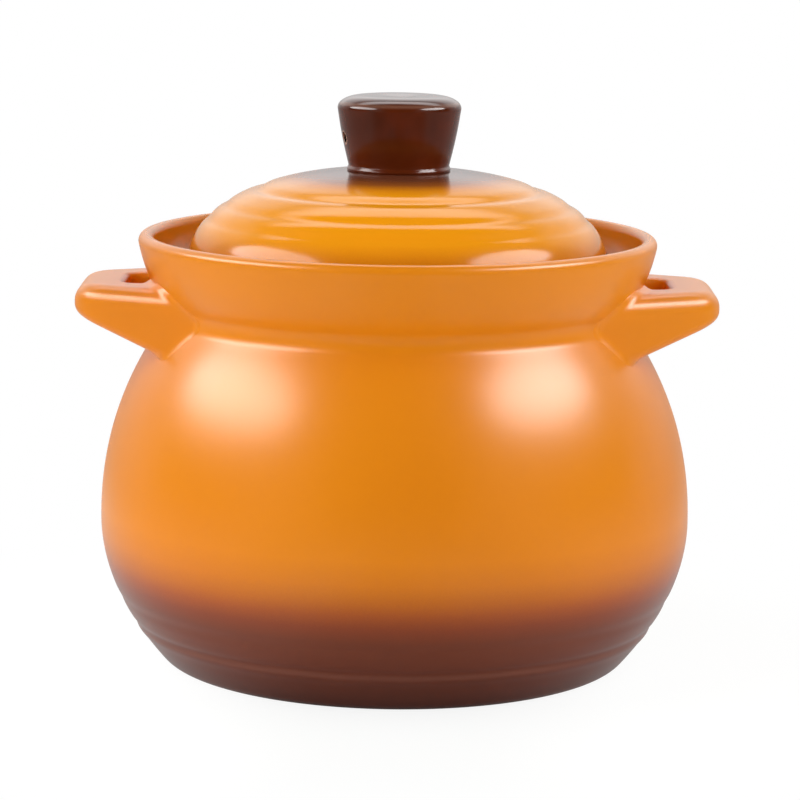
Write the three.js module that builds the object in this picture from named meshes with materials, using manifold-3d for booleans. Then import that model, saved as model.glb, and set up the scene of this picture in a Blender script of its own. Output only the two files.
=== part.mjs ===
// Round-bellied ceramic stew pot: a pot body with a flared rim, two loop handles luted to its neck,
// a domed lid that drops onto a ledge inside the rim, and a hollow knob with a steam vent.
// Millimetres, +Z up. The origin is the centre of the resting face, and the handles lie along X.
import * as THREE from "three";
import { mergeVertices } from "three/addons/utils/BufferGeometryUtils.js";
import Module from "manifold-3d";

const wasm = await Module();
wasm.setup();

// Widths of the pot, each measured out from the mouth that the lid drops into
const mouthRadius = 79;
const neckWall = 10;
const rimFlare = 11.5;
const bellyBulge = 26;
const footInset = 30;

// Heights of the pot
const bellyHeight = 57;
const neckHeight = 137;
const seatRise = 9;
const rimDepth = 21.5;

// Curves of the outside. A lean is the wall's angle from the vertical, in degrees.
const footCorner = 9;
const footLean = 41;
const shoulderLean = 36;
const neckRound = 7;
const flareLean = 41;
const flareEndLean = 12;
const lipThickness = 6;

// Turning rings near the foot, by height
const bodyRingHeights = [16.5, 27];
const bodyRingDepth = 0.6;
const bodyRingReach = 3.2;

// Inside of the pot body and its underside
const wallThickness = 7;
const floorThickness = 8.5;
const floorInset = 7;
const floorRound = 12;
const footRingWidth = 11;
const footRecess = 2;

// Lid: a dome standing on a short upright edge, with a flange that drops into the mouth.
// A dome power of 2 would be half an ellipsoid, and more than 2 has a flatter top.
const lidBearing = 2.5;
const lidClearance = 4;
const lidEdgeHeight = 10.3;
const lidRise = 36;
const domePower = 2.5;
const lidWall = 7;
const lidEdgeRound = 2;
const flangeClearance = 1.8;
const flangeDepth = 7;
const flangeWall = 5;
const lidVentRadius = 6;

// Turning rings of the lid, as shares of its radius
const lidRingShares = [0.614, 0.789, 0.875];
const lidRingDepth = 0.3;
const lidRingReach = 1.8;

// Knob: a hollow cone, wider at the top, with a rounded, dished top and a side vent
const knobBaseRadius = 19.5;
const knobTopRadius = 23.9;
const knobHeight = 28.4;
const knobEdgeRound = 3.4;
const knobCrestRadius = 15;
const knobCrestRise = 1.8;
const knobDishRadius = 11;
const knobDishDepth = 1.2;
const knobWall = 7.5;
const knobCrown = 7;
const ventRadius = 2;
const ventRise = 12.4;
const ventAngle = 197;

// Handles: loops seen from above, thicker towards the pot, whose arms sweep outwards into the neck
const handleStandOff = 35.2;
const handleHalf = 37;
const handleRootHalf = 46.6;
const handleCorner = 27;
const handleBar = 19;
const handleArm = 22.2;
const handleRise = 12;
const handleEndThickness = 11.4;
const handleSlope = 21.7;
const handleEdge = 4.2;
const gripCorner = 6;

// Gaps that stand for the films of slip and glaze, and for the loose seat of the lid
const luteGap = 0.3;
const seatGap = 0.3;

// How finely round forms are cut
const turnSteps = 56;
const knobTurnSteps = 36;
const curveSteps = 7;
const arcSteps = 4;
const tightArcSteps = 6;
const domeSteps = 14;
const domeInsideSteps = 9;
const ventSteps = 14;
const bevelSteps = 2;

// Sizes that follow from those above
const neckRadius = mouthRadius + neckWall;
const rimRadius = neckRadius + rimFlare;
const bellyRadius = neckRadius + bellyBulge;
const footRadius = bellyRadius - footInset;
const floorRadius = footRadius - floorInset;
const seatHeight = neckHeight + seatRise;
const rimHeight = seatHeight + rimDepth;
const lipRadius = lipThickness / 2;
const lipHeight = rimHeight - lipRadius;
const lidRadius = mouthRadius + lidBearing;
const seatRadius = lidRadius + lidClearance;
const lidFoot = seatHeight + seatGap;
const domeFoot = lidFoot + lidEdgeHeight;
const handleReach = neckRadius + handleStandOff;
const handleTop = neckHeight + handleRise;

const glazeOrange = new THREE.MeshStandardMaterial({ color: 0xe08a1e, roughness: 0.3, metalness: 0 });
const lidOrange = new THREE.MeshStandardMaterial({ color: 0xf0981c, roughness: 0.15, metalness: 0 });
const knobBrown = new THREE.MeshStandardMaterial({ color: 0x4e2211, roughness: 0.15, metalness: 0 });

const radians = THREE.MathUtils.degToRad;
const point = (radius, height) => new THREE.Vector2(radius, height);

// Points of a circular arc in the radius and height plane, angles in degrees
function arc(centreRadius, centreHeight, size, from, to, steps = arcSteps) {
  return Array.from({ length: steps + 1 }, (_, i) => {
    const angle = radians(from + ((to - from) * i) / steps);
    return point(centreRadius + size * Math.cos(angle), centreHeight + size * Math.sin(angle));
  });
}

// A parabola that leaves one point at a lean and reaches another upright, or at a lean of its own
function leaningCurve(start, lean, end, endLean = 0) {
  const slope = Math.tan(radians(lean));
  const endSlope = Math.tan(radians(endLean));
  const meeting = (end.x - start.x + start.y * slope - end.y * endSlope) / (slope - endSlope);
  const control = point(start.x + (meeting - start.y) * slope, meeting);
  return new THREE.QuadraticBezierCurve(start, control, end);
}

// The point of a rising curve at one height
function atHeight(curve, height) {
  let low = 0;
  let high = 1;
  for (let i = 0; i < 40; i += 1) {
    const middle = (low + high) / 2;
    if (curve.getPoint(middle).y < height) low = middle;
    else high = middle;
  }
  return point(curve.getPoint(low).x, height);
}

// A turned solid from a closed outline of radius and height, upright along Z
function turned(outline, steps) {
  return new THREE.LatheGeometry(outline, steps).rotateX(Math.PI / 2);
}

function solidOf(geometry) {
  const bare = geometry.clone();
  bare.deleteAttribute("normal");
  bare.deleteAttribute("uv");
  const merged = mergeVertices(bare, 1e-4);
  return new wasm.Manifold(
    new wasm.Mesh({
      numProp: 3,
      vertProperties: merged.attributes.position.array,
      triVerts: new Uint32Array(merged.index.array),
    }),
  );
}

function geometryOf(solid) {
  const mesh = solid.getMesh();
  const geometry = new THREE.BufferGeometry();
  geometry.setAttribute("position", new THREE.BufferAttribute(mesh.vertProperties, 3));
  geometry.setIndex(new THREE.BufferAttribute(mesh.triVerts, 1));
  return geometry;
}

// The rounded lip, from the outside over to the inside
function lipRound() {
  return arc(rimRadius - lipRadius, lipHeight, lipRadius, -flareEndLean, 180, tightArcSteps);
}

// Outside of the pot body from the foot to the lip, grown outwards by a margin
function bodyOutside(margin) {
  const corner = arc(footRadius, footCorner, footCorner, -90, -footLean);
  const belly = point(bellyRadius, bellyHeight);
  const lower = leaningCurve(corner.at(-1), footLean, belly);
  const heights = new Set(lower.getPoints(curveSteps).slice(1).map((p) => p.y));
  for (const ring of bodyRingHeights) {
    for (const near of heights) if (Math.abs(near - ring) < bodyRingReach) heights.delete(near);
    [-bodyRingReach, 0, bodyRingReach].forEach((step) => heights.add(ring + step));
  }
  const wall = [...heights].sort((a, b) => a - b).map((height) => {
    const p = atHeight(lower, height);
    return bodyRingHeights.includes(height) ? point(p.x - bodyRingDepth, height) : p;
  });
  const neckCentre = neckRadius + neckRound;
  const neck = arc(neckCentre, neckHeight, neckRound, 180 + shoulderLean, 180 - flareLean, tightArcSteps);
  const shoulder = leaningCurve(neck[0], -shoulderLean, belly).getPoints(curveSteps);
  const flare = leaningCurve(neck.at(-1), flareLean, lipRound()[0], flareEndLean).getPoints(curveSteps);
  const outside = [...corner, ...wall, ...shoulder.reverse().slice(1), ...neck.slice(1), ...flare.slice(1)];
  return outside.map((p) => point(p.x + margin, p.y));
}

function potBody() {
  const lip = lipRound().slice(1);
  const seat = point(seatRadius, seatHeight);
  const innerFlare = new THREE.QuadraticBezierCurve(
    lip.at(-1),
    point(lip.at(-1).x, (lipHeight + seatHeight) / 2),
    seat,
  );
  const mouth = point(mouthRadius, neckHeight);
  const innerBelly = point(bellyRadius - wallThickness, bellyHeight);
  const innerShoulder = new THREE.QuadraticBezierCurve(
    mouth,
    point(innerBelly.x, (neckHeight + bellyHeight) / 2),
    innerBelly,
  );
  const floorCorner = arc(floorRadius, floorThickness + floorRound, floorRound, -90, -footLean);
  const innerLower = leaningCurve(floorCorner.at(-1), footLean, innerBelly);
  const ringInner = footRadius - footRingWidth;
  const outline = [
    point(0, footRecess),
    point(ringInner - footRecess, footRecess),
    point(ringInner, 0),
    ...bodyOutside(0),
    ...lip,
    ...innerFlare.getPoints(curveSteps).slice(1),
    point(mouthRadius, seatHeight),
    ...innerShoulder.getPoints(curveSteps + 2),
    ...innerLower.getPoints(curveSteps).reverse().slice(1),
    ...floorCorner.reverse().slice(1),
    point(0, floorThickness),
  ];
  return turned(outline, turnSteps);
}

// The lid's dome, as a height over the ground at a radius
function domeHeight(radius, side, rise) {
  return domeFoot + rise * Math.sqrt(1 - (radius / side) ** domePower);
}

function lidDome() {
  const side = lidRadius - lidWall;
  const rise = lidRise - lidWall;
  const radii = new Set();
  for (let i = 0; i < domeSteps; i += 1) radii.add(lidRadius * Math.cos((Math.PI / 2) * (i / domeSteps)));
  const rings = lidRingShares.map((share) => share * lidRadius);
  for (const ring of rings) {
    for (const near of radii) if (Math.abs(near - ring) < lidRingReach) radii.delete(near);
    [-lidRingReach, 0, lidRingReach].forEach((step) => radii.add(ring + step));
  }
  const crown = [...radii].filter((radius) => radius > lidVentRadius).sort((a, b) => b - a);
  const outside = crown.map((radius) => {
    const ring = rings.includes(radius) ? lidRingDepth : 0;
    return point(radius, domeHeight(radius, lidRadius, lidRise) - ring);
  });
  const flangeRadius = mouthRadius - flangeClearance;
  const flangeInner = flangeRadius - flangeWall;
  const flangeTurn = Math.acos(flangeInner / side);
  const ventTurn = Math.acos(lidVentRadius / side);
  const inside = Array.from({ length: domeInsideSteps + 1 }, (_, i) => {
    const radius = side * Math.cos(ventTurn + ((flangeTurn - ventTurn) * i) / domeInsideSteps);
    return point(radius, domeHeight(radius, side, rise));
  });
  const edge = arc(lidRadius - lidEdgeRound, lidFoot + lidEdgeRound, lidEdgeRound, -90, 0);
  const outline = [
    point(flangeInner, lidFoot - flangeDepth),
    point(flangeRadius, lidFoot - flangeDepth),
    point(flangeRadius, lidFoot),
    ...edge,
    ...outside,
    point(lidVentRadius, domeHeight(lidVentRadius, lidRadius, lidRise)),
    ...inside,
    point(flangeInner, lidFoot - flangeDepth),
  ];
  return turned(outline, turnSteps);
}

function lidKnob() {
  const crown = domeFoot + lidRise;
  const top = crown + knobHeight;
  const onDome = (radius) => domeHeight(radius, lidRadius, lidRise) + luteGap;
  const dish = (radius) => point(radius, top - knobDishDepth * (1 - (radius / knobDishRadius) ** 2));
  const boreBase = knobBaseRadius - knobWall;
  const boreTop = knobTopRadius - knobWall;
  const boreHeight = top - knobCrown;
  const edgeHeight = top - knobCrestRise - knobEdgeRound;
  const edge = arc(knobTopRadius - knobEdgeRound, edgeHeight, knobEdgeRound, 0, 90);
  const outline = [
    point(boreBase, onDome(boreBase)),
    point(knobBaseRadius, onDome(knobBaseRadius)),
    ...edge,
    point(knobCrestRadius, top),
    dish(knobDishRadius),
    dish(knobDishRadius / 2),
    dish(0),
    point(0, boreHeight),
    point(boreTop - knobEdgeRound, boreHeight),
    point(boreTop, boreHeight - knobEdgeRound),
    point(boreBase, onDome(boreBase)),
  ];
  const reach = knobTopRadius * 2;
  const vent = new THREE.CylinderGeometry(ventRadius, ventRadius, reach, ventSteps);
  vent.rotateZ(Math.PI / 2).translate(reach / 2, 0, 0).rotateZ(radians(ventAngle));
  vent.translate(0, 0, crown + ventRise);
  return geometryOf(solidOf(turned(outline, knobTurnSteps)).subtract(solidOf(vent)));
}

// One loop, lying along +X, cut to the curve of the pot's neck
function handleLoop() {
  const turnX = handleReach - handleCorner;
  const gripReach = handleReach - handleBar;
  const gripHalf = handleHalf - handleArm;
  const rootX = Math.sqrt(neckRadius ** 2 - handleRootHalf ** 2);
  const buriedX = 2 * rootX - neckRadius;
  const buriedHalf = 2 * handleRootHalf - handleHalf;
  const loop = new THREE.Shape();
  loop.moveTo(buriedX, -buriedHalf);
  loop.lineTo(rootX, -handleRootHalf);
  loop.quadraticCurveTo(neckRadius, -handleHalf, turnX, -handleHalf);
  loop.absarc(turnX, handleCorner - handleHalf, handleCorner, -Math.PI / 2, 0, false);
  loop.absarc(turnX, handleHalf - handleCorner, handleCorner, 0, Math.PI / 2, false);
  loop.quadraticCurveTo(neckRadius, handleHalf, rootX, handleRootHalf);
  loop.lineTo(buriedX, buriedHalf);
  loop.lineTo(buriedX, gripHalf);
  loop.absarc(gripReach - gripCorner, gripHalf - gripCorner, gripCorner, Math.PI / 2, 0, true);
  loop.absarc(gripReach - gripCorner, gripCorner - gripHalf, gripCorner, 0, -Math.PI / 2, true);
  loop.lineTo(buriedX, -gripHalf);
  loop.closePath();
  const slab = new THREE.ExtrudeGeometry(loop, {
    depth: handleEndThickness - 2 * handleEdge,
    bevelEnabled: true,
    bevelThickness: handleEdge,
    bevelSize: handleEdge,
    bevelOffset: -handleEdge,
    bevelSegments: bevelSteps,
    curveSegments: tightArcSteps,
  });
  // the top stays level and the underside drops towards the pot
  const place = slab.attributes.position;
  for (let i = 0; i < place.count; i += 1) {
    const depth = handleEndThickness - handleEdge - place.getZ(i);
    const lower = depth > handleEndThickness / 2;
    const drop = lower ? (handleReach - place.getX(i)) * Math.tan(radians(handleSlope)) : 0;
    place.setZ(i, handleTop - depth - drop);
  }
  const neckOutline = [point(0, 0), ...bodyOutside(luteGap), point(0, lipHeight)];
  return geometryOf(solidOf(slab).subtract(solidOf(turned(neckOutline, turnSteps))));
}

function piece(name, geometry, material) {
  const mesh = new THREE.Mesh(geometry, material);
  mesh.name = name;
  return mesh;
}

const pot = new THREE.Group();
pot.add(piece("pot_body", potBody(), glazeOrange));

const handles = new THREE.Group();
for (const [name, turn] of [["right_handle", 0], ["left_handle", Math.PI]]) {
  const handle = piece(name, handleLoop(), glazeOrange);
  handle.rotation.z = turn;
  handles.add(handle);
}
pot.add(handles);

const lid = new THREE.Group();
lid.add(piece("lid_dome", lidDome(), lidOrange));
lid.add(piece("lid_knob", lidKnob(), knobBrown));
pot.add(lid);

export default pot;
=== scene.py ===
from math import cos, exp, pi, radians, sin, sqrt, tan

import bpy
from mathutils import Matrix, Vector
from mathutils.bvhtree import BVHTree


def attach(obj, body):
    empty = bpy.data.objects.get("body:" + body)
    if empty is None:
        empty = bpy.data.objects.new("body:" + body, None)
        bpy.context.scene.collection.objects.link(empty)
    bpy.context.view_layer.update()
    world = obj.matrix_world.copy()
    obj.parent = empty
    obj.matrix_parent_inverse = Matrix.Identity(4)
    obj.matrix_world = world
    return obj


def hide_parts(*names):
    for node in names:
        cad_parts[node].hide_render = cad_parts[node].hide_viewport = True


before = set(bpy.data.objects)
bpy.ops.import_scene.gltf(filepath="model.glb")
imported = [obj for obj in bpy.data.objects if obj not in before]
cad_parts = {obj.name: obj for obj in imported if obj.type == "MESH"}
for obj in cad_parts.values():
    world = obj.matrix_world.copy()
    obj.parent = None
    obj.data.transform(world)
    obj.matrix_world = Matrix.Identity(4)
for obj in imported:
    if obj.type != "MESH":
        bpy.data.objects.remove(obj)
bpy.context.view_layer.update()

mm = 0.001
creaseAngle = radians(50)  # sharper edges than this stay sharp, or get a bevel


# Outlines, in millimetres of radius and height

def arcPoints(centreRadius, centreHeight, size, start, stop, steps):
    turns = [radians(start + (stop - start) * i / steps) for i in range(steps + 1)]
    return [(centreRadius + size * cos(t), centreHeight + size * sin(t)) for t in turns]


def curvePoints(start, pull, stop, steps):  # a parabola drawn towards its pull point
    points = []
    for i in range(steps + 1):
        t = i / steps
        a, b, c = (1 - t) ** 2, 2 * t * (1 - t), t * t
        points.append(tuple(a * s + b * p + c * e for s, p, e in zip(start, pull, stop)))
    return points


def leaningCurve(start, lean, stop, stopLean, steps):  # leans are angles from the upright
    slope, stopSlope = tan(radians(lean)), tan(radians(stopLean))
    meeting = (stop[0] - start[0] + start[1] * slope - stop[1] * stopSlope) / (slope - stopSlope)
    pull = (start[0] + (meeting - start[1]) * slope, meeting)
    return curvePoints(start, pull, stop, steps)


def ringDip(place, rings):  # how far turning rings sink the surface at one place
    return sum(depth * exp(-((place - ring) / width) ** 2) for ring, depth, width in rings)


# Modelling steps that several pieces share

def startEditing(piece):
    bpy.ops.object.select_all(action="DESELECT")
    piece.select_set(True)
    bpy.context.view_layer.objects.active = piece
    bpy.ops.object.mode_set(mode="EDIT")
    bpy.ops.mesh.select_all(action="SELECT")


def finishMesh():  # leaves edit mode with a closed, smooth mesh
    bpy.ops.mesh.select_all(action="SELECT")
    bpy.ops.mesh.remove_doubles(threshold=0.002 * mm)
    bpy.ops.mesh.normals_make_consistent(inside=False)
    bpy.ops.object.mode_set(mode="OBJECT")
    bpy.ops.object.shade_smooth_by_angle(angle=creaseAngle)


def traceLine(name, points):  # one vertex, extruded from point to point, left in edit mode
    bpy.ops.object.select_all(action="DESELECT")
    bpy.ops.mesh.primitive_plane_add(size=mm)
    piece = bpy.context.object
    piece.name = piece.data.name = name
    startEditing(piece)
    bpy.ops.mesh.merge(type="CENTER")
    bpy.ops.transform.translate(value=Vector(points[0]) * mm)
    for last, this in zip(points, points[1:]):
        step = (Vector(this) - Vector(last)) * mm
        bpy.ops.mesh.extrude_region_move(TRANSFORM_OT_translate={"value": step})
    bpy.ops.mesh.select_all(action="SELECT")
    return piece


def turnedPiece(name, outline, steps):  # spins an outline round the pot's axis
    piece = traceLine(name, [(radius, 0, height) for radius, height in outline])
    bpy.ops.mesh.spin(steps=steps, angle=2 * pi, center=(0, 0, 0), axis=(0, 0, 1))
    finishMesh()
    return piece


def applyModifier(piece, kind, **settings):
    bpy.context.view_layer.objects.active = piece
    modifier = piece.modifiers.new(kind.lower(), kind)
    for key, value in settings.items():
        setattr(modifier, key, value)
    bpy.ops.object.modifier_apply(modifier=modifier.name)


def cutAway(piece, tool):
    applyModifier(piece, "BOOLEAN", object=tool, operation="DIFFERENCE", solver="EXACT")
    bpy.data.objects.remove(tool)
    startEditing(piece)
    finishMesh()


# Pot body

pot = {
    "footRadius": 85, "footCorner": 9, "footLean": 41,
    "bellyRadius": 115, "bellyHeight": 57,
    "shoulderLean": 36, "neckRadius": 89, "neckHeight": 137, "neckRound": 7,
    "flareLean": 41, "flareEndLean": 12, "rimRadius": 100.5, "rimHeight": 167.5, "lip": 3,
    "rings": ((17.2, 0.55, 1.5), (14.0, -0.35, 1.8), (27.0, 0.3, 2.2)),  # height, depth, width
    "ridgeHighlight": 15.5, "wall": 7, "floor": 8.5, "floorRadius": 78, "floorRound": 12,
    "mouthRadius": 79, "mouthRound": 1.5, "seatHeight": 146, "seatRadius": 85.5, "seatRound": 2,
    "footRing": 11, "footRecess": 2, "footEdge": 1,
    "bareHeight": 0.4, "insideFadeAndShade": (144, 160),  # bare clay below, and the inside's brown fade up to the rim, which also paints the shade under the lid
    "rough": 0.3, "shine": 0.35, "insideRough": 0.22, "insideShine": 0.2,
    "turns": 176,
}


def lipRound():
    centre = pot["rimRadius"] - pot["lip"]
    return arcPoints(centre, pot["rimHeight"] - pot["lip"], pot["lip"], -pot["flareEndLean"], 180, 16)


def potOutside():
    belly = (pot["bellyRadius"], pot["bellyHeight"])
    corner = arcPoints(pot["footRadius"], pot["footCorner"], pot["footCorner"], -90, -pot["footLean"], 8)
    lower = leaningCurve(corner[-1], pot["footLean"], belly, 0, 80)[1:]
    lower = [(radius - ringDip(height, pot["rings"]), height) for radius, height in lower]
    neck = arcPoints(pot["neckRadius"] + pot["neckRound"], pot["neckHeight"], pot["neckRound"],
                     180 + pot["shoulderLean"], 180 - pot["flareLean"], 12)
    shoulder = leaningCurve(neck[0], -pot["shoulderLean"], belly, 0, 26)
    flare = leaningCurve(neck[-1], pot["flareLean"], lipRound()[0], pot["flareEndLean"], 14)
    return corner + lower + shoulder[::-1][1:] + neck[1:] + flare[1:]


def potInside():
    lip = lipRound()[1:]
    seat, mouth, soft, cove = pot["seatHeight"], pot["mouthRadius"], pot["mouthRound"], pot["seatRound"]
    flarePull = (lip[-1][0], (lip[-1][1] + seat) / 2)
    flare = curvePoints(lip[-1], flarePull, (pot["seatRadius"], seat + cove), 12)
    ledge = arcPoints(pot["seatRadius"] - cove, seat + cove, cove, 0, -90, 5)
    edge = arcPoints(mouth + soft, seat - soft, soft, 90, 180, 5)
    belly = (pot["bellyRadius"] - pot["wall"], pot["bellyHeight"])
    shoulderPull = (belly[0], (pot["neckHeight"] + belly[1]) / 2)
    shoulder = curvePoints((mouth, pot["neckHeight"]), shoulderPull, belly, 24)
    corner = arcPoints(pot["floorRadius"], pot["floor"] + pot["floorRound"], pot["floorRound"],
                       -90, -pot["footLean"], 8)
    lower = leaningCurve(corner[-1], pot["footLean"], belly, 0, 18)
    return lip + flare[1:] + ledge[1:] + edge + shoulder + lower[::-1][1:] + corner[::-1][1:]


def makePotBody():
    ringInner, edge = pot["footRadius"] - pot["footRing"], pot["footEdge"]
    under = [(0, pot["footRecess"]), (ringInner - 3 * edge, pot["footRecess"])]
    under += arcPoints(ringInner + edge, edge, edge, 200, 270, 4)
    outline = under + potOutside() + potInside() + [(0, pot["floor"])]
    return turnedPiece("potBody", outline, pot["turns"])


potBody = makePotBody()
print("pot body turned:", len(potBody.data.polygons), "faces")


# Loop handles

loop = {
    "reach": 124.2, "rootHalf": 46.6, "taper": 25, "corner": 16,
    "bar": 19, "gripHalf": 14.8, "gripCorner": 6,
    "top": 149, "blank": 34, "endThickness": 11.4, "slope": 21.7, "topEase": 7, "topClear": 1, "edge": 3,
    "rootStart": 66, "rootEnd": 99, "rootStep": 0.8, "armStart": 12, "armEnd": 52, "armStep": 2,
    "depthStep": 1.0, "depth": 26,
    "fillet": 2.8, "filletTurn": 110, "easeReach": 3.5, "easePasses": 6, "trim": 3,
}


def loopOutline():
    reach, corner, taper = loop["reach"], loop["corner"], radians(loop["taper"])
    neck, rootHalf = pot["neckRadius"], loop["rootHalf"]
    gripHalf, gripCorner = loop["gripHalf"], loop["gripCorner"]
    root, grip = sqrt(neck ** 2 - rootHalf ** 2), reach - loop["bar"]
    buried = 2 * root - neck
    tip = reach - corner + corner * sin(taper)  # where the leaning side runs into the round corner
    cornerHalf = rootHalf - (tip - root) * tan(taper) - corner * cos(taper)
    outer = [(buried, rootHalf + (root - buried) * tan(taper)), (root, rootHalf)]
    outer += arcPoints(reach - corner, cornerHalf, corner, 90 - loop["taper"], 0, 12)
    inner = arcPoints(grip - gripCorner, gripHalf - gripCorner, gripCorner, 0, 90, 8) + [(buried, gripHalf)]
    mirrored = [(x, -y) for x, y in outer[::-1]]
    return outer + mirrored + [(x, -y) for x, y in inner[::-1]] + inner


def cutGrid():  # crosswise cuts near the pot, so the arms can be eased into it
    rootCuts = int((loop["rootEnd"] - loop["rootStart"]) / loop["rootStep"]) + 1
    spots = [(loop["rootStart"] + loop["rootStep"] * i, 0, 0) for i in range(rootCuts)]
    armCuts = range(loop["armStart"], loop["armEnd"] + 1, loop["armStep"])
    spots += [(0, side * half, 0) for half in armCuts for side in (-1, 1)]
    spots += [(0, 0, loop["top"] - loop["depthStep"] * i) for i in range(1, loop["depth"])]
    for spot in spots:
        bpy.ops.mesh.select_all(action="SELECT")
        facing = [1 if value else 0 for value in spot]
        bpy.ops.mesh.bisect(plane_co=Vector(spot) * mm, plane_no=facing)


def easeRoots(piece, wall):  # a small fillet along the line where the arms meet the pot
    size = loop["fillet"]
    surface = BVHTree.FromObject(wall, bpy.context.evaluated_depsgraph_get())
    moves = {}
    for vertex in piece.data.vertices:
        place, facing = surface.find_nearest(vertex.co)[:2]
        turn = vertex.normal.angle(facing)
        reach = size * tan(min(turn, radians(loop["filletTurn"])) / 2)
        run = reach - (vertex.co - place).dot(facing) / mm / max(sin(turn), 0.2)
        if run > 0:
            lift = size - sqrt(size ** 2 - min(run, 0.97 * size) ** 2)  # just short of the arc's upright end
            moves[vertex.index] = vertex.normal * lift * mm
    for index, move in moves.items():
        piece.data.vertices[index].co += move
    startEditing(piece)
    bpy.ops.mesh.select_all(action="DESELECT")
    bpy.ops.object.mode_set(mode="OBJECT")
    for vertex in piece.data.vertices:
        vertex.select = abs(surface.find_nearest(vertex.co)[3]) < loop["easeReach"] * mm
    bpy.ops.object.mode_set(mode="EDIT")
    bpy.ops.mesh.vertices_smooth(factor=0.5, repeat=loop["easePasses"])
    finishMesh()


def softenTop(piece):  # a broad easing along the outer edge of the top
    clear = loop["topClear"]  # keeps off the edge of the finger gap
    grip, gripHalf = loop["reach"] - loop["bar"] + clear, loop["gripHalf"] + clear
    startEditing(piece)
    bpy.ops.mesh.select_mode(type="EDGE")
    bpy.ops.mesh.select_all(action="DESELECT")
    bpy.ops.object.mode_set(mode="OBJECT")
    for edge in piece.data.edges:
        ends = [piece.data.vertices[index].co / mm for index in edge.vertices]
        onTop = all(end.z > loop["top"] - 0.01 for end in ends)
        edge.select = onTop and all(end.x > grip or abs(end.y) > gripHalf for end in ends)
    bpy.ops.object.mode_set(mode="EDIT")
    bpy.ops.mesh.bevel(offset=loop["topEase"] * mm, segments=10)
    bpy.ops.mesh.select_mode(type="VERT")
    finishMesh()


def makeLoop():
    base = loop["top"] - loop["blank"]
    piece = traceLine("rightLoop", [(x, y, base) for x, y in loopOutline()])
    bpy.ops.mesh.edge_face_add()
    bpy.ops.mesh.extrude_region_move(TRANSFORM_OT_translate={"value": (0, 0, loop["blank"] * mm)})
    bpy.ops.mesh.select_all(action="SELECT")
    lean = radians(loop["slope"])  # the slanting underside
    bpy.ops.mesh.bisect(plane_co=(loop["reach"] * mm, 0, (loop["top"] - loop["endThickness"]) * mm),
                        plane_no=(sin(lean), 0, -cos(lean)), use_fill=True, clear_outer=True)
    finishMesh()
    softenTop(piece)
    applyModifier(piece, "BEVEL", width=loop["edge"] * mm, segments=7, limit_method="ANGLE",
                  angle_limit=creaseAngle)
    startEditing(piece)
    cutGrid()
    finishMesh()
    easeRoots(piece, potBody)
    inset = [(radius - loop["trim"], height) for radius, height in potOutside()]
    core = turnedPiece("wallCore", [(0, inset[0][1])] + inset + [(0, inset[-1][1])], 120)
    cutAway(piece, core)  # nothing stands inside the pot's wall
    return piece


rightLoop = makeLoop()
bpy.ops.object.select_all(action="DESELECT")
rightLoop.select_set(True)
bpy.ops.object.duplicate()
leftLoop = bpy.context.object
leftLoop.name = leftLoop.data.name = "leftLoop"
leftLoop.rotation_euler.z = pi
bpy.ops.object.transform_apply(rotation=True)
print("loop handles made:", len(rightLoop.data.polygons), "faces each")


# Lid

lid = {
    "radius": 81.5, "foot": 146.3, "edgeHeight": 10.3, "rise": 36, "power": 2.5, "wall": 7, "edgeRound": 2,
    "flangeRadius": 77.2, "flangeWall": 5, "flangeDepth": 7, "flangeRound": 1.2, "vent": 6,
    "rings": ((54.4, 0.8, 2.6), (67.0, 0.5, 1.9), (73.6, 0.62, 1.6)),  # radius, depth, width
    "haloAndShadeFade": (27, 50), "edgeSprayAndShade": (152, 173),  # radii of the brown halo round the knob, with painted shade where the knob stands, and heights of the edge's brown spray with painted shade from the rim
    "rough": 0.15, "shine": 0.15,
    "turns": 168, "domeSteps": 180, "underSteps": 24,
}


def domeHeight(radius, inset=0):
    share = min(1, radius / (lid["radius"] - inset))
    return lid["foot"] + lid["edgeHeight"] + (lid["rise"] - inset) * sqrt(1 - share ** lid["power"])


def makeLid():
    foot, soft, vent = lid["foot"], lid["edgeRound"], lid["vent"]
    outer, inner = lid["flangeRadius"], lid["flangeRadius"] - lid["flangeWall"]
    bottom, ease = foot - lid["flangeDepth"], lid["flangeRound"]
    flange = arcPoints(inner + ease, bottom + ease, ease, 180, 270, 4)
    flange += arcPoints(outer - ease, bottom + ease, ease, 270, 360, 4)
    edge = [(outer, foot)] + arcPoints(lid["radius"] - soft, foot + soft, soft, -90, 0, 6)
    steps, underSteps = lid["domeSteps"], lid["underSteps"]
    radii = [lid["radius"] * cos(pi / 2 * i / steps) for i in range(steps)]
    radii = [radius for radius in radii if radius > vent + 1]
    dome = [(radius, domeHeight(radius) - ringDip(radius, lid["rings"])) for radius in radii]
    dome.append((vent, domeHeight(vent)))
    radii = [vent + (inner - vent) * sin(pi / 2 * i / underSteps) for i in range(underSteps + 1)]
    under = [(radius, domeHeight(radius, lid["wall"])) for radius in radii]
    return turnedPiece("lidDome", flange + edge + dome + under + flange[:1], lid["turns"])


lidDome = makeLid()
print("lid turned:", len(lidDome.data.polygons), "faces")


# Knob

knob = {
    "baseRadius": 19.5, "topRadius": 23.9, "top": 221, "bulge": 0.35,
    "edgeRound": 3.4, "edgeTurn": 50, "crestRadius": 14.5, "crestRise": 1.5,
    "dishRadius": 11, "dishDepth": 0.6, "sideSteps": 12, "dishSteps": 12,
    "edgeShineRadius": 22.9, "edgeShineHeight": 218.2, "edgeShineReach": 1.3, "lidReflectionFade": (192, 214),
    "bead": 0.9, "rootRound": 0.6, "rootSink": 0.25, "wall": 7.5, "crown": 7,
    "vent": 1.9, "ventEase": 0.35, "ventDepth": 21.6, "ventHeight": 205, "ventAngle": 197,
    "drillStart": 10, "drillEnd": 30, "ventShineRing": (2.4, 3.1),
    "rough": 0.12, "shine": 0.25,
    "turns": 112,
}


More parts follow.
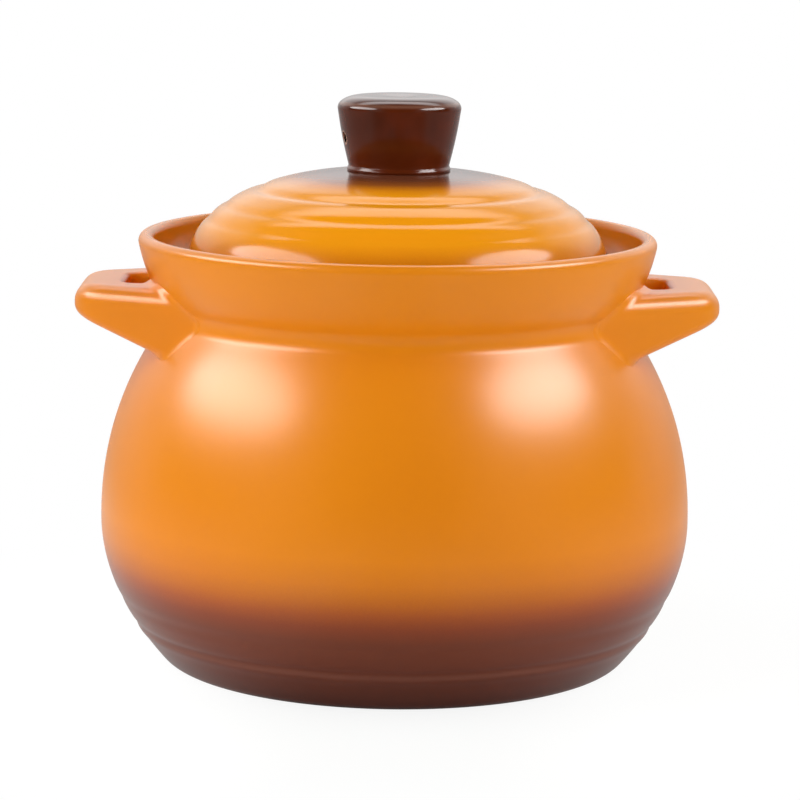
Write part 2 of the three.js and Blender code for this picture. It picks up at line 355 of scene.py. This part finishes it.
def knobSide(low, high):  # slightly bowed, from the root to the top's edge
    points = []
    for i in range(1, knob["sideSteps"]):
        t = i / knob["sideSteps"]
        bow = knob["bulge"] * sin(pi * t)
        points.append((low[0] + (high[0] - low[0]) * t + bow, low[1] + (high[1] - low[1]) * t))
    return points


def knobTop():
    top, soft, turn = knob["top"], knob["edgeRound"], radians(knob["edgeTurn"])
    edge = arcPoints(knob["topRadius"] - soft, top - knob["crestRise"] - soft, soft, 0, knob["edgeTurn"], 7)
    reach = (top - edge[-1][1]) / cos(turn)
    crest = curvePoints(edge[-1], (edge[-1][0] - reach * sin(turn), top), (knob["crestRadius"], top), 7)
    dish = []
    for i in range(knob["dishSteps"] + 1):
        radius = knob["dishRadius"] * (1 - i / knob["dishSteps"])
        fall = (cos(pi * radius / knob["dishRadius"]) + 1) / 2
        dish.append((radius, top - knob["dishDepth"] * fall))
    return edge + crest[1:] + dish


def boreVent(piece):  # a hole with an eased mouth, from the side into the hollow
    tight, ease, mouth = knob["vent"], knob["ventEase"], knob["ventDepth"]
    lipPoints = arcPoints(tight + ease, mouth - ease, ease, 180, 90, 5)
    start, end = knob["drillStart"], knob["drillEnd"]
    outline = [(0, start), (tight, start)] + lipPoints + [(tight + ease, end), (0, end)]
    drill = turnedPiece("ventDrill", outline, 24)
    facing = Matrix.Rotation(radians(knob["ventAngle"]), 4, "Z") @ Matrix.Rotation(pi / 2, 4, "Y")
    drill.matrix_world = Matrix.Translation((0, 0, knob["ventHeight"] * mm)) @ facing
    cutAway(piece, drill)


def makeKnob():
    base, root, sink = knob["baseRadius"], knob["rootRound"], knob["rootSink"]
    ground = domeHeight(base + root) - sink
    bead = knob["bead"]
    flare = arcPoints(base - bead / 3, ground + bead, bead, 270, 405, 9)  # a bead of slip round the root
    flare += arcPoints(base + root, ground + 2 * bead + root, root, 225, 180, 4)
    top = knobTop()
    bore, roof, soft = base - knob["wall"], knob["top"] - knob["crown"], knob["edgeRound"]
    inside = [(0, roof)] + arcPoints(bore - soft, roof - soft, soft, 90, 0, 5)
    inside.append((bore, domeHeight(bore) - sink))
    outline = flare + knobSide(flare[-1], top[0]) + top + inside + flare[:1]
    piece = turnedPiece("lidKnob", outline, knob["turns"])
    boreVent(piece)
    return piece


lidKnob = makeKnob()
print("knob turned and drilled:", len(lidKnob.data.polygons), "faces")


# Glazes

def tone(red, green, blue):  # a screen colour, 0 to 255, as the linear colour that shaders take
    parts = [value / 255 for value in (red, green, blue)]
    return tuple(p / 12.92 if p <= 0.04045 else ((p + 0.055) / 1.055) ** 2.4 for p in parts) + (1,)


class Wire:  # one socket's value, with the arithmetic that the finishes use
    def __init__(self, finish, socket):
        self.finish = finish
        self.socket = socket

    def maths(self, operation, first, second):
        return self.finish.add("ShaderNodeMath", {"operation": operation}, {0: first, 1: second})

    def __add__(self, other):
        return self.maths("ADD", self, other)

    def __sub__(self, other):
        return self.maths("SUBTRACT", self, other)

    def __rsub__(self, other):
        return self.maths("SUBTRACT", other, self)

    def __mul__(self, other):
        return self.maths("MULTIPLY", self, other)

    def __truediv__(self, other):
        return self.maths("DIVIDE", self, other)

    def __pow__(self, other):
        return self.maths("POWER", self, other)

    def __abs__(self):
        return self.maths("ABSOLUTE", self, 0.0)

    __radd__ = __add__
    __rmul__ = __mul__


class Finish:  # one node tree, of a material or of the world
    def __init__(self, owner):
        owner.use_nodes = True
        self.owner = owner
        self.tree = owner.node_tree
        self.tree.nodes.clear()

    def add(self, kind, settings={}, sockets={}, output=0):
        node = self.tree.nodes.new(kind)
        for key, value in settings.items():
            setattr(node, key, value)
        for key, value in sockets.items():
            if isinstance(value, Wire):
                self.tree.links.new(value.socket, node.inputs[key])
            else:
                node.inputs[key].default_value = value
        return Wire(self, node.outputs[output]) if node.outputs else node

    def locate(self, coordinate="Object"):  # the place on the piece, in metres
        self.place = self.add("ShaderNodeTexCoord", output=coordinate)
        axes = self.add("ShaderNodeSeparateXYZ", {}, {0: self.place}).socket.node
        self.x, self.y, self.z = (Wire(self, axes.outputs[name]) for name in "XYZ")
        self.radius = (self.x * self.x + self.y * self.y) ** 0.5

    def between(self, value, low, high):  # 0 at low, 1 at high, eased
        settings = {"interpolation_type": "SMOOTHSTEP"}
        return self.add("ShaderNodeMapRange", settings, {0: value, 1: low, 2: high})

    def noise(self, scale, detail=2.0):  # centred on 0
        sockets = {"Vector": self.place, "Scale": scale, "Detail": detail}
        return self.add("ShaderNodeTexNoise", {}, sockets) - 0.5

    def mix(self, share, first, second):
        return self.add("ShaderNodeMix", {"data_type": "RGBA"}, {0: share, 6: first, 7: second}, 2)

    def ramp(self, share, stops):
        wire = self.add("ShaderNodeValToRGB", {}, {0: share})
        elements = wire.socket.node.color_ramp.elements
        while len(elements) < len(stops):
            elements.new(0.5)
        for element, (position, colour) in zip(elements, stops):
            element.position = position
            element.color = colour
        return wire

    def ray(self, kind):  # 1 for rays of one kind
        return self.add("ShaderNodeLightPath", output="Is " + kind + " Ray")

    def output(self, surface, kind="ShaderNodeOutputMaterial"):
        self.add(kind, {}, {"Surface": surface})
        return self.owner

    def glazed(self, colour, roughness, shine):  # fired glaze is never quite level
        sockets = {"Strength": 0.15, "Distance": 0.0002, "Height": self.noise(60.0)}
        level = self.add("ShaderNodeBump", {}, sockets)
        sockets = {"Base Color": colour, "Roughness": roughness, "IOR": 1.5, "Specular IOR Level": shine,
                   "Normal": level}
        return self.output(self.add("ShaderNodeBsdfPrincipled", {}, sockets))


def newFinish(name):
    finish = Finish(bpy.data.materials.new(name))
    finish.locate()
    return finish


orange, brown = tone(225, 129, 15), tone(116, 58, 40)
fade = {  # the sprayed fade from the foot up, as heights in millimetres
    "low": 4, "high": 62,
    "stops": ((4, tone(90, 43, 30)), (14, tone(104, 51, 36)), (30, brown), (36, tone(136, 64, 38)),
              (41, tone(164, 80, 35)), (46, tone(190, 101, 28)), (53, tone(213, 119, 20)), (62, orange)),
}


def potGlaze():
    f = newFinish("potGlaze")
    span = fade["high"] - fade["low"]
    cloud = f.noise(14.0) * 0.05 + f.noise(1400.0) * 0.04  # uneven spray, and its fine dots
    share = (f.z / mm - fade["low"]) / span + cloud
    sprayed = f.ramp(share, [((height - fade["low"]) / span, colour) for height, colour in fade["stops"]])
    deeper = f.mix(1.0, sprayed, tone(236, 222, 210))
    deeper.socket.node.blend_type = "MULTIPLY"
    colour = f.mix(f.between(f.noise(9.0, 1.0), -0.15, 0.3) * 0.4, sprayed, deeper)
    ridgeHighlight = 1 - f.between(abs(f.z - pot["ridgeHighlight"] * mm + f.noise(40.0) * mm), 0.2 * mm, 1.6 * mm)
    colour = f.mix(ridgeHighlight * 0.06, colour, tone(196, 146, 130))  # painted highlight: a pale line along the ridge over the foot
    return f.glazed(colour, f.noise(50.0, 3.0) * 0.02 + pot["rough"], pot["shine"])


def insideGlaze():
    f = newFinish("insideGlaze")
    # brown glaze darkening down the inner wall, partly painted shade under the lid
    share = f.between(f.z / mm + f.noise(30.0, 3.0) * 4, *pot["insideFadeAndShade"])
    colour = f.ramp(share, [
        (0.0, tone(96, 50, 34)), (0.3, tone(138, 72, 36)), (0.7, tone(198, 112, 42)), (1.0, orange)])
    return f.glazed(colour, f.noise(50.0, 3.0) * 0.05 + pot["insideRough"], pot["insideShine"])


def bareClay():
    f = newFinish("bareClay")
    grain = f.noise(700.0, 4.0)
    colour = f.mix(f.between(grain, -0.15, 0.25), tone(198, 160, 124), tone(168, 130, 98))
    level = f.add("ShaderNodeBump", {}, {"Strength": 0.3, "Distance": 0.0006, "Height": grain})
    sockets = {"Base Color": colour, "Roughness": grain * 0.2 + 0.8, "Normal": level}
    return f.output(f.add("ShaderNodeBsdfPrincipled", {}, sockets))


def lidGlaze():
    f = newFinish("lidGlaze")
    cloud = f.noise(30.0, 3.0) * 5 + f.noise(1400.0) * 3
    # the brown halo round the knob, widened with painted shade where the knob stands on the lid
    haloAndShade = f.ramp(f.between(f.radius / mm + cloud, *lid["haloAndShadeFade"]), [
        (0.0, tone(100, 52, 36)), (0.45, tone(152, 80, 30)),
        (0.8, tone(220, 127, 20)), (1.0, tone(243, 150, 18))])
    # brown spray at the lid's edge, deepened with painted shade from the rim
    colour = f.mix(f.between(f.z / mm + cloud, *lid["edgeSprayAndShade"]), tone(190, 85, 26), haloAndShade)
    return f.glazed(colour, f.noise(50.0, 3.0) * 0.03 + lid["rough"], lid["shine"])


def ventDistance(f):  # millimetres from the vent's centre line, and 1 on the vent's side of the knob
    turn = radians(knob["ventAngle"])
    across = f.y * cos(turn) - f.x * sin(turn)
    ahead = f.x * cos(turn) + f.y * sin(turn)
    above = f.z - knob["ventHeight"] * mm
    return (across * across + above * above) ** 0.5 / mm, f.between(ahead, 0, mm)


def knobGlaze():
    f = newFinish("knobGlaze")
    # random warm tone, and a painted reflection of the orange lid that warms the knob's lower part
    toneAndLidReflection = f.between(f.noise(60.0, 3.0), -0.2, 0.3) * 0.4
    toneAndLidReflection += (1 - f.between(f.z / mm, *knob["lidReflectionFade"])) * 0.4
    away, ahead = ventDistance(f)
    outside = f.between(away, knob["vent"], knob["vent"] + 0.2)
    ring = outside * (1 - f.between(away, *knob["ventShineRing"])) * ahead
    rise, out = f.z - knob["edgeShineHeight"] * mm, f.radius - knob["edgeShineRadius"] * mm
    edge = 1 - f.between((rise * rise + out * out) ** 0.5, 0.2 * mm, knob["edgeShineReach"] * mm)
    colour = f.mix(toneAndLidReflection, tone(72, 28, 10), tone(106, 38, 9))
    # painted highlights: a pale line along the top's edge, and a pale ring round the vent's mouth
    colour = f.mix(edge * 0.2 + ring * 0.6, colour, tone(186, 136, 116))
    # painted shade: the bore is darkened to near black
    colour = f.mix(ahead - outside * ahead, colour, tone(24, 10, 6))
    return f.glazed(colour, f.noise(70.0, 3.0) * 0.04 + knob["rough"], knob["shine"])


def potFace(centre, normal):  # 0 outside, 1 inside, 2 bare foot
    radius = sqrt(centre.x ** 2 + centre.y ** 2)
    inward = normal.x * centre.x + normal.y * centre.y < 0
    downward, upward = normal.z < -0.7, normal.z > 0.9
    if centre.z < pot["bareHeight"] and downward:
        return 2
    if centre.z > pot["rimHeight"] - pot["lip"]:
        return 1 if radius < pot["rimRadius"] - pot["lip"] else 0
    if centre.z > pot["floor"] - 0.5 and (inward or upward):
        return 1
    return 0


outsideFinish = potGlaze()
for finish in (outsideFinish, insideGlaze(), bareClay()):
    potBody.data.materials.append(finish)
for face in potBody.data.polygons:
    face.material_index = potFace(face.center / mm, face.normal)
for handle in (rightLoop, leftLoop):
    handle.data.materials.append(outsideFinish)
lidDome.data.materials.append(lidGlaze())
lidKnob.data.materials.append(knobGlaze())
print("glazes assigned")

for piece, body, node, slot in (
        (potBody, "pot", "pot_body", "pot_glaze"), (rightLoop, "pot", "right_handle", "pot_glaze"),
        (leftLoop, "pot", "left_handle", "pot_glaze"), (lidDome, "lid", "lid_dome", "lid_glaze"),
        (lidKnob, "lid", "lid_knob", "knob_glaze")):
    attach(piece, body)
    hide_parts(node)


# Floor, room and lamps

studio = {
    "floorSize": 12, "floorSeen": 0.92, "floorBounce": 0.75, "shadowReach": (0.12, 0.25), "clearNear": 0.88,
    "glowLeft": 0.6, "glowRight": 0.42, "glowStart": (0.02, 0.1), "glowEnd": (0.35, 0.6),
    "glowMirrored": 0.5,
    "mirrorFront": 0.15, "mirrorBack": 0.5, "mirrorTurn": (-0.05, 0.15), "mirrorSpread": 0.9,
    "roomSoft": 0.06, "roomDark": 0.03, "roomSide": 0.4, "roomFront": 0.5,
    "roomBack": 0.75, "roomSweep": 1.85, "roomTop": 5.6,  # and the directions at which each fades, as shares
    "sideStart": (0.2, 0.35), "sideTop": (0.1, 0.4), "frontStart": (0.35, 0.65), "frontEnd": (0.8, 0.97),
    "backStart": (0.3, 0.42), "sweepStart": (0.03, 0.35), "sweepTop": (0.56, 0.7), "sweepEnd": (0.68, 0.85),
    "topStart": (0.68, 0.8),
    "boxLevel": 2.2, "boxSize": (1.3, 1.3), "boxPlace": (1.0, -0.25, 0.95), "leftGain": 1.13,
    "kickLevel": 3.8, "kickSize": (0.7, 0.2), "kickPlace": (0.95, -0.5, 0.1),
    "sideTint": (0.95, 1.05, 0.95), "frontTint": (1.03, 0.95, 1.0),
    "shineDepth": 0.47, "shineReach": 1.25,  # and each shine's side, turn, rise, roll, width and level
    "shines": ((-1, 10, 32, 11, 1.3, 15.2), (1, 15.7, 36.2, 12, 1.05, 18.3)),
    "fillLevel": 1.35, "fillSize": (1.6, 1.2), "fillPlace": (0, -1.9, 0.9),
    "lowLevel": 1.1, "lowSize": (1.4, 0.2), "lowPlace": (0, -1.3, 0.11),
    "target": (0, 0, 0.14),
}


def makeFloor():
    bpy.ops.object.select_all(action="DESELECT")
    bpy.ops.mesh.primitive_plane_add(size=studio["floorSize"])
    floor = bpy.context.object
    floor.name = "studioFloor"
    f = newFinish("paleFloor")
    seen = f.ray("Camera")
    shade = seen * (studio["floorSeen"] - studio["floorBounce"]) + studio["floorBounce"]
    paper = f.add("ShaderNodeBsdfDiffuse", {}, {"Color": shade})
    white = f.add("ShaderNodeEmission", {}, {"Strength": 1.0})
    behind = f.between(f.y + abs(f.x) * studio["mirrorSpread"], *studio["mirrorTurn"])
    level = behind * (studio["mirrorBack"] - studio["mirrorFront"]) + studio["mirrorFront"]
    sides = f.between(0 - f.x, *studio["glowStart"]) * studio["glowLeft"]
    sides += f.between(f.x, *studio["glowStart"]) * studio["glowRight"]
    sides *= 1 - f.between(f.radius, *studio["glowEnd"])
    glow = f.add("ShaderNodeEmission", {}, {"Strength": sides})
    lit = f.add("ShaderNodeAddShader", {}, {0: paper, 1: glow})  # painted light: the paper glows beside the pot, as if lit by the side lamps
    mirrored = f.add("ShaderNodeEmission", {}, {"Strength": level + sides * studio["glowMirrored"]})
    glossy = f.ray("Glossy")
    clear = f.between(f.radius, *studio["shadowReach"]) * (1 - studio["clearNear"]) + studio["clearNear"]
    board = f.add("ShaderNodeMixShader", {}, {0: clear * seen, 1: lit, 2: white})
    f.owner.cycles.emission_sampling = "NONE"
    surface = f.add("ShaderNodeMixShader", {}, {0: glossy, 1: board, 2: mirrored})
    floor.data.materials.append(f.output(surface))


def makeRoom():  # white to the camera, dim as light, bright behind and above in reflections
    world = bpy.data.worlds.new("studioRoom")
    world.cycles.sampling_method = "NONE"  # so that each kind of ray meets its own level
    bpy.context.scene.world = world
    f = Finish(world)
    f.locate("Generated")
    across = abs(f.x)
    sweep = f.between(f.z, *studio["sweepStart"]) * (1 - f.between(f.z, *studio["sweepTop"]))
    sweep *= 1 - f.between(across, *studio["sweepEnd"])
    panel = sweep * (studio["roomSweep"] - studio["roomBack"]) + studio["roomBack"]
    panel += f.between(f.z, *studio["topStart"]) * (studio["roomTop"] - studio["roomBack"])
    sides = f.between(f.y, *studio["sideStart"]) * (1 - f.between(f.z, *studio["sideTop"]))
    front = f.between(across, *studio["frontStart"]) * (1 - f.between(across, *studio["frontEnd"]))
    wall = sides * studio["roomSide"] + studio["roomDark"] + front * studio["roomFront"]
    mirrored = f.between(f.y, *studio["backStart"]) * (panel - wall) + wall
    glossy = f.ray("Glossy")
    seen = f.ray("Camera")
    level = glossy * (mirrored - studio["roomSoft"]) + studio["roomSoft"]
    level = seen * (1 - level) + level
    light = f.add("ShaderNodeBackground", {}, {"Color": (1, 1, 1, 1), "Strength": level})
    f.output(light, "ShaderNodeOutputWorld")


# A lamp with a roll is only mirrored in the glazes, and one without only lights them
def softbox(name, place, size, level, tint=(1, 1, 1), roll=None):
    light = bpy.data.lights.new(name, "AREA")
    light.shape = "RECTANGLE" if roll is None else "ELLIPSE"
    light.size, light.size_y = size
    light.color = tint
    light.energy = level * pi * size[0] * size[1] * (1 if roll is None else pi / 4)
    light.cycles.use_multiple_importance_sampling = roll is not None
    lamp = bpy.data.objects.new(name, light)
    bpy.context.scene.collection.objects.link(lamp)
    lamp.location = place
    facing = (Vector(studio["target"]) - Vector(place)).to_track_quat("-Z", "Y").to_matrix()
    lamp.rotation_euler = (facing @ Matrix.Rotation(radians(roll or 0), 3, "Z")).to_euler()
    lamp.visible_glossy, lamp.visible_diffuse = roll is not None, roll is None
    lamp.visible_camera = False


def makeLamps():
    tint = studio["sideTint"]
    for side, gain in ((-1, studio["leftGain"]), (1, 1)):
        mirror = Vector((side, 1, 1))
        softbox("sideSoftbox", mirror * Vector(studio["boxPlace"]), studio["boxSize"],
                studio["boxLevel"] * gain, tint)
        softbox("lowSoftbox", mirror * Vector(studio["kickPlace"]), studio["kickSize"],
                studio["kickLevel"] * gain, tint)
    for side, turn, rise, roll, width, level in studio["shines"]:
        turn, rise = radians(turn), radians(rise)
        away = Vector((side * cos(rise) * cos(turn), -cos(rise) * sin(turn), sin(rise)))
        place = Vector(studio["target"]) + away * studio["shineReach"]
        softbox("sideShine", place, (width, studio["shineDepth"]), level, roll=-side * roll)
    tint = studio["frontTint"]
    softbox("frontFill", studio["fillPlace"], studio["fillSize"], studio["fillLevel"], tint)
    softbox("lowFill", studio["lowPlace"], studio["lowSize"], studio["lowLevel"], tint)


makeFloor()
makeRoom()
makeLamps()
print("studio lit")


# Camera

view = {
    "aim": (0, 0, 110), "distance": 1301, "elevation": 9.28, "roll": 0.71,
    "lens": 149.7, "sensor": 36, "shift": (0.0048, -0.0259),
}


def makeCamera():
    camera = bpy.data.cameras.new("photoCamera")
    camera.lens, camera.sensor_width = view["lens"], view["sensor"]
    camera.shift_x, camera.shift_y = view["shift"]
    eye = bpy.data.objects.new("photoCamera", camera)
    bpy.context.scene.collection.objects.link(eye)
    rise = radians(view["elevation"])
    back = Vector((0, -cos(rise), sin(rise)))
    eye.location = (Vector(view["aim"]) + back * view["distance"]) * mm
    tilt = Matrix.Rotation(pi / 2 - rise, 3, "X") @ Matrix.Rotation(radians(view["roll"]), 3, "Z")
    eye.rotation_euler = tilt.to_euler()
    bpy.context.scene.camera = eye


makeCamera()
bpy.context.scene.view_settings.view_transform = "Standard"
print("camera placed")
